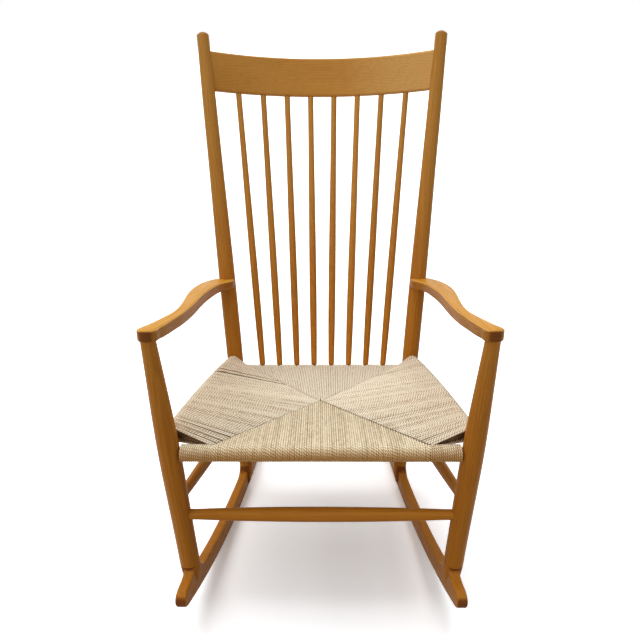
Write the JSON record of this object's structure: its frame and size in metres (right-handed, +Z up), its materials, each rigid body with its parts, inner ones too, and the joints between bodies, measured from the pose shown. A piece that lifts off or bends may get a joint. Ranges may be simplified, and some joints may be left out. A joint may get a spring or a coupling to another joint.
{
  "type": "rocking chair",
  "caption": "High-backed rocking chair with round tapered legs, swept arms, a bent crest rail over slim turned spindles, curved rockers and a woven cord seat.",
  "frame": {"origin": "centre of the base of the bounding box: on the floor, on the plane of symmetry and midway between the rockers' toes and tails", "axes": "+Z up, +Y from the front of the chair to its back, +X to the right of someone who faces its front"},
  "size_m": [0.626, 0.8827, 1.07],
  "materials": {
    "wood": "oiled, satin",
    "paper_cord": "matt twisted paper cord"
  },
  "bodies": {
    "root": {"right_rocker": "wood", "left_rocker": "wood", "right_front_leg": "wood", "left_front_leg": "wood", "right_back_post": "wood", "left_back_post": "wood", "right_arm": "wood", "left_arm": "wood", "right_seat_rail": "wood", "left_seat_rail": "wood", "front_seat_rail": "wood", "rear_seat_rail": "wood", "right_side_stretcher": "wood", "left_side_stretcher": "wood", "front_stretcher": "wood", "rear_stretcher": "wood", "crest_rail": "wood", "spindle_1": "wood", "spindle_2": "wood", "spindle_3": "wood", "spindle_4": "wood", "spindle_5": "wood", "spindle_6": "wood", "spindle_7": "wood", "spindle_8": "wood", "woven_seat": "paper_cord"}
  },
  "joints": []
}
